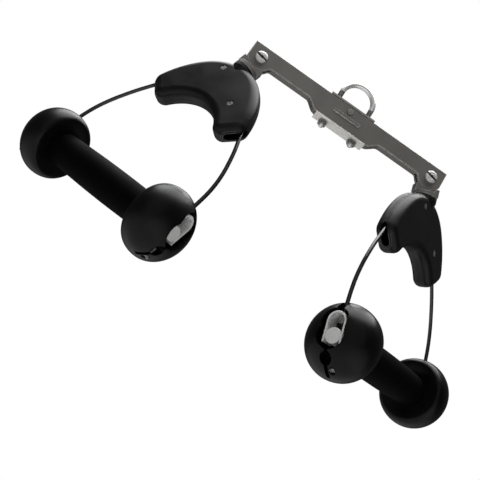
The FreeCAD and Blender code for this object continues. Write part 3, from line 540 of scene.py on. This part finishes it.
def make_bolts():
    """Round-headed end bolts with a broad slot, a ring and a hexagonal centre hole, the slot and
    hole painted dark as shade.
    """
    front = BOLT_FACE - BOLT_HEAD_HIGH
    profile = [(front, 0.5), (front, 2.75), (front + 0.3, 2.85), (front + 0.3, 3.15),
               (front, 3.25), (front, 5.2), (front + 0.25, 5.65), (front + 0.7, BOLT_HEAD),
               (BOLT_FACE, BOLT_HEAD), (BOLT_FACE, BOLT_SHANK), (BOLT_END - 0.5, BOLT_SHANK),
               (BOLT_END, BOLT_SHANK - 0.5), (BOLT_END, 0.5)]
    for side in SIDES:
        place = Matrix.Translation(side_frames[side].translation)
        turn = Matrix.Rotation(math.radians(90), 4, "Z")
        bolt = lathe(side + "_end_bolt", place @ turn, profile, 96, BOLT_STEEL, closed=False)
        slot = box_piece("bolt_slot", (-SLOT_REACH, -1.0, -SLOT_HALF),
                         (SLOT_REACH, SLOT_DEPTH, SLOT_HALF))
        slot.data.transform(Matrix.Translation((0, front * MM, 0)))
        slot.data.transform(Matrix.Rotation(math.radians(SLOT_TILT), 4, "Y"))
        slot.data.transform(place)
        hole = [(front - 1, HEXAGON_RADIUS), (front + HEXAGON_DEPTH, HEXAGON_RADIUS)]
        hexagon = lathe("bolt_hexagon", place @ turn, hole, 6, DARK_STEEL, closed=False)
        # The cutters' dark steel paints shade into the slot and the hole.
        for cutter in (slot, hexagon):
            cutter.data.materials.clear()
            cutter.data.materials.append(PAINTED_SHADE_STEEL)
        carve(bolt, [slot, hexagon], 32)
        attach(bolt, "bar")
    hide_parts("pivot_bolts")


# ---------------------------------------------------------------- grips

HANDLE_DROP = 186.8
GRIP_HALF = 60.6
BARREL_HALF = 56.5
BARREL_RADIUS = 15.0
BARREL_CROWN = 1.1
CROWN_REACH = 60.0
BARREL_STEPS = 40


def grip_profile():
    """Barrel sleeve with a bead at each end, as (along, radius) pairs round a hollow."""
    barrel = []
    for count in range(BARREL_STEPS + 1):
        along = -BARREL_HALF + 2 * BARREL_HALF * count / BARREL_STEPS
        barrel.append((along, BARREL_RADIUS + BARREL_CROWN * (1 - (along / CROWN_REACH) ** 2)))
    bead = [(-GRIP_HALF, 10.5), (-GRIP_HALF, 14.2), (-GRIP_HALF + 0.5, 14.9),
            (-GRIP_HALF + 1.4, 15.2), (-GRIP_HALF + 2.3, 15.1), (-GRIP_HALF + 2.9, 14.6),
            (-GRIP_HALF + 3.4, 14.75)]
    end = [(-along, radius) for along, radius in reversed(bead)]
    return bead + barrel + end


def make_grip(side):
    matrix = side_frames[side] @ Matrix.Translation((0, 0, -HANDLE_DROP * MM))
    grip = lathe(side + "_moulded_grip", matrix, grip_profile(), 96, GRIP_RUBBER)
    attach(grip, side + "_grip")
    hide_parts(side + "_grip_sleeve")


# ---------------------------------------------------------------- knobs

KNOB_INNER = 61.1
KNOB_RADIUS = 32.45
KNOB_RIM = 12.3
KNOB_LENGTH = 36.95
SHOULDER_STEPS = 12
SHOULDER_FULLNESS = 0.62
DOME_STEPS = 32
DOME_QUARTER = 32.6
POCKET_START = 77.9
PAST_KNOB = 110.0
STIRRUP_HALF = 11.3


def knob_profile():
    """The knob's outside from its inner face to its outer end, as (along, radius) pairs."""
    face = [(1.5, 3.0), (1.5, 17.6), (1.2, 19.2), (0.55, 22.0), (0.12, 25.0), (0.0, 26.6),
            (0.1, 27.6), (0.4, 28.3)]
    start, inner = face[-1]
    shoulder = []
    for count in range(1, SHOULDER_STEPS + 1):
        share = count / SHOULDER_STEPS
        swell = math.sin(math.pi / 2 * share ** SHOULDER_FULLNESS)
        shoulder.append((start + (KNOB_RIM - start) * share,
                         inner + (KNOB_RADIUS - inner) * swell))
    dome = []
    for count in range(1, DOME_STEPS + 1):
        angle = math.pi / 2 * count / DOME_QUARTER
        dome.append((KNOB_RIM + (KNOB_LENGTH - KNOB_RIM) * math.sin(angle),
                     KNOB_RADIUS * math.cos(angle)))
    return [(KNOB_INNER + along, radius) for along, radius in face + shoulder + dome]


def box_piece(name, low, high):
    """A plain box cutter between two corners, in mm."""
    corners = [Vector((x, y, z)) * MM for x in (low[0], high[0]) for y in (low[1], high[1])
               for z in (low[2], high[2])]
    faces = [(0, 1, 3, 2), (4, 6, 7, 5), (0, 4, 5, 1), (2, 3, 7, 6), (0, 2, 6, 4), (1, 5, 7, 3)]
    return new_piece(name, corners, faces, KNOB_BLACK, smooth=False)


def round_piece(name, start, end, radius, rise=0.0):
    """A round cutter along X, lifted by rise, in mm."""
    lift = Matrix.Translation((0, 0, rise * MM))
    return lathe(name, lift, [(start, radius), (end, radius)], 72, KNOB_BLACK, closed=False)


def carve(piece, cutters, angle):
    """Cuts the cutters out of a piece and keeps its smooth shading below an angle."""
    for cutter in cutters:
        modifier = piece.modifiers.new("carve", "BOOLEAN")
        modifier.operation = "DIFFERENCE"
        modifier.solver = "EXACT"
        modifier.material_mode = "TRANSFER"
        modifier.object = cutter
    bpy.context.view_layer.update()
    mesh = bpy.data.meshes.new_from_object(
        piece.evaluated_get(bpy.context.evaluated_depsgraph_get()))
    piece.modifiers.clear()
    piece.data = mesh
    mesh.set_sharp_from_angle(angle=math.radians(angle))
    for cutter in cutters:
        bpy.data.objects.remove(cutter)


def knob_form():
    """One knob round the handle's axis at +X, with its pocket, stirrup opening and cable slot."""
    knob = lathe("knob_form", Matrix(), knob_profile(), 128, KNOB_BLACK, closed=False)
    far = PAST_KNOB
    half = STIRRUP_HALF
    notch = lathe("notch", Matrix.Translation((0, 0, -19.0 * MM)), [(84.0, 5.2), (far, 5.2)], 48,
                  KNOB_BLACK, closed=False)
    screw = Matrix.Rotation(math.radians(90), 4, "Y")
    screw.translation = Vector((86.0, 4.9, -25.6)) * MM
    carve(knob, [
        round_piece("bore", 50.0, far, 7.2),
        round_piece("pocket", POCKET_START + 2.0, far, 12.6),
        round_piece("deep_pocket", POCKET_START, far, 11.2),
        round_piece("pocket_floor", POCKET_START - 2.0, far, 9.6),
        box_piece("stirrup_way", (POCKET_START, -half, 0), (far, half, 12.0)),
        round_piece("stirrup_arch", POCKET_START, far, half, 12.0),
        box_piece("cable_way", (78.6, -3.5, 17.0), (far, 3.5, 47.0)),
        box_piece("split", (80.0, -1.7, -41.0), (far, 1.7, -7.0)),
        notch,
        lathe("screw_seat", screw, [(-1.0, 2.8), (30.0, 2.8)], 32, KNOB_BLACK, closed=False),
    ], 32)
    return knob


def make_knobs():
    """Both knobs of each handle, as copies of one form with their places in their meshes."""
    form = knob_form()
    turned = Matrix.Rotation(math.pi, 4, "Z")
    drop = Matrix.Translation((0, 0, -HANDLE_DROP * MM))
    for side in SIDES:
        for end, turn in (("a", turned), ("b", Matrix())):
            mesh = form.data.copy()
            mesh.transform(side_frames[side] @ drop @ turn)
            knob = bpy.data.objects.new("%s_moulded_knob_%s" % (side, end), mesh)
            bpy.context.collection.objects.link(knob)
            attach(knob, side + "_handle")
            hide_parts("%s_knob_%s" % (side, end))
    bpy.data.objects.remove(form)


# ---------------------------------------------------------------- ridges on the caps

LOBE_TIP = Vector((58.6, 0, -79.0)) * MM
LOBE_FOOT = Vector((40.5, 0, -94.9)) * MM
RIDGE_START = 5.0 * MM
RIDGE_BEND = 13.5 * MM
RIDGE_WIDTHS = (4.3 * MM, 5.9 * MM)
RIDGE_RADIUS = 0.5 * MM
RIDGE_LIFT = 0.3
ARM_STEPS = 16
BEND_STEPS = 32
RAY_REACH = 30


def ridge_outline(width):
    """A U round the opening, as (along the cap, across it) pairs."""
    arm = [(RIDGE_START + (RIDGE_BEND - RIDGE_START) * count / ARM_STEPS, width)
           for count in range(ARM_STEPS)]
    bend = [(RIDGE_BEND + width * math.sin(math.pi * count / BEND_STEPS),
             width * math.cos(math.pi * count / BEND_STEPS)) for count in range(BEND_STEPS + 1)]
    return arm + bend + [(along, -across) for along, across in reversed(arm)]


def ridge_radius(distance, angle):
    """One radius all along and all round a ridge."""
    return RIDGE_RADIUS


def make_cap_ridges(side):
    """Two nested ribs round each of a side's cable openings, laid on the shells' own surface."""
    matrix = side_frames[side]
    shells = [frame["nodes"][side + part] for part in ("_front_shell", "_rear_shell")]
    for end, sign in (("a", -1), ("b", 1)):
        mirror = Matrix.Scale(sign, 4, (1, 0, 0))
        place = matrix @ mirror
        down_cap = (LOBE_FOOT - LOBE_TIP).normalized()
        outward = Vector((-down_cap.z, 0, down_cap.x))
        for rank, width in enumerate(RIDGE_WIDTHS):
            line = []
            for along, across in ridge_outline(width):
                start = place @ (LOBE_TIP + down_cap * along + Vector((0, across, 0))
                                 + outward * RAY_REACH * MM)
                aim = (place.to_3x3() @ -outward).normalized()
                hits = [shell.ray_cast(start, aim) for shell in shells]
                found = [(point - start).length for hit, point, _, _ in hits if hit]
                if found:
                    line.append(start + aim * (min(found) + RIDGE_RADIUS * RIDGE_LIFT))
            name = "%s_cap_ridge_%s_%d" % (side, end, rank + 1)
            lie = (place.to_3x3() @ outward).normalized()
            ridge = tube(name, line, lie, ridge_radius, 12, 0.4 * MM, RIDGE_LIT_BLACK)
            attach(ridge, side + "_housing")


make_u_bolt()
make_nuts()
make_bolts()
make_knobs()
for side_name in SIDES:
    make_cable(side_name)
    make_grip(side_name)
    make_cap_ridges(side_name)

# ---------------------------------------------------------------- stage, light and camera

CAMERA_AZIMUTH = math.radians(-3.81)
CAMERA_ELEVATION = math.radians(-19.24)
CAMERA_ROLL = math.radians(33.22)
CAMERA_DISTANCE = 653.67 * MM
CAMERA_TARGET = Vector((-20.46, 0, -155.97)) * MM
CAMERA_LENS = 57.06
CAMERA_SENSOR = 36
CAMERA_NEAR = 0.01
FLOOR_RADIUS = 2.4
FLOOR_HEIGHT = -0.78
FLOOR_SEGMENTS = 96
WORLD_LIGHT = 0.09
LIGHT_AIM = (0, 0, -0.18)
# Each light: (name, place in m, diameter in m, power in W).
LIGHTS = (
    ("overhead", (-0.12, 0.12, 0.95), 1.6, 42),
    ("front", (-0.5, -1.6, 0.3), 2.2, 4.5),
    ("under", (0.35, -0.5, -0.72), 1.2, 2.0),
)


def make_camera():
    """The photograph's view: from below, rolled, close enough for strong perspective."""
    flat = math.cos(CAMERA_ELEVATION)
    back = Vector((math.sin(CAMERA_AZIMUTH) * flat, -math.cos(CAMERA_AZIMUTH) * flat,
                   math.sin(CAMERA_ELEVATION)))
    right = Vector((math.cos(CAMERA_AZIMUTH), math.sin(CAMERA_AZIMUTH), 0))
    up = back.cross(right)
    across = right * math.cos(CAMERA_ROLL) + up * math.sin(CAMERA_ROLL)
    upward = back.cross(across)
    matrix = Matrix((across, upward, back)).transposed().to_4x4()
    target = CAMERA_TARGET + Vector((0, 0, bolt_height))
    matrix.translation = target + back * CAMERA_DISTANCE
    data = bpy.data.cameras.new("camera")
    data.lens = CAMERA_LENS
    data.sensor_width = CAMERA_SENSOR
    data.clip_start = CAMERA_NEAR
    camera = bpy.data.objects.new("camera", data)
    camera.matrix_world = matrix
    bpy.context.collection.objects.link(camera)
    bpy.context.scene.camera = camera


def make_light(name, place, size, power):
    data = bpy.data.lights.new(name, "AREA")
    data.shape = "DISK"
    data.size = size
    data.energy = power
    light = bpy.data.objects.new(name, data)
    light.visible_camera = False
    aim = Vector(LIGHT_AIM) - Vector(place)
    light.rotation_euler = aim.to_track_quat("-Z", "Y").to_euler()
    light.location = place
    bpy.context.collection.objects.link(light)


def make_world():
    """White to look at, and much dimmer as a light, so that black plastic stays black."""
    world = bpy.data.worlds.new("surroundings")
    world.use_nodes = True
    tree = world.node_tree
    seen = tree.nodes["Background"]
    seen.inputs["Color"].default_value = (1, 1, 1, 1)
    lit = tree.nodes.new("ShaderNodeBackground")
    lit.inputs["Color"].default_value = (1, 1, 1, 1)
    lit.inputs["Strength"].default_value = WORLD_LIGHT
    path = tree.nodes.new("ShaderNodeLightPath")
    mix = tree.nodes.new("ShaderNodeMixShader")
    tree.links.new(path.outputs["Is Camera Ray"], mix.inputs[0])
    tree.links.new(lit.outputs["Background"], mix.inputs[1])
    tree.links.new(seen.outputs["Background"], mix.inputs[2])
    tree.links.new(mix.outputs["Shader"], tree.nodes["World Output"].inputs["Surface"])
    return world


def make_stage():
    """Pale floor well below the hanging part, white surroundings and soft studio light."""
    rim = [(FLOOR_RADIUS * math.cos(math.tau * count / FLOOR_SEGMENTS),
            FLOOR_RADIUS * math.sin(math.tau * count / FLOOR_SEGMENTS), FLOOR_HEIGHT)
           for count in range(FLOOR_SEGMENTS)]
    pale = surface("floor", (0.8, 0.8, 0.8), 0.7, grain=60.0, mottle=0.02, relief=0.0001)
    floor = new_piece("floor", rim, [tuple(range(FLOOR_SEGMENTS))], pale)
    bpy.context.scene.world = make_world()
    bpy.context.scene.view_settings.view_transform = "Standard"
    for light in LIGHTS:
        make_light(*light)


make_camera()
make_stage()

bpy.context.view_layer.update()
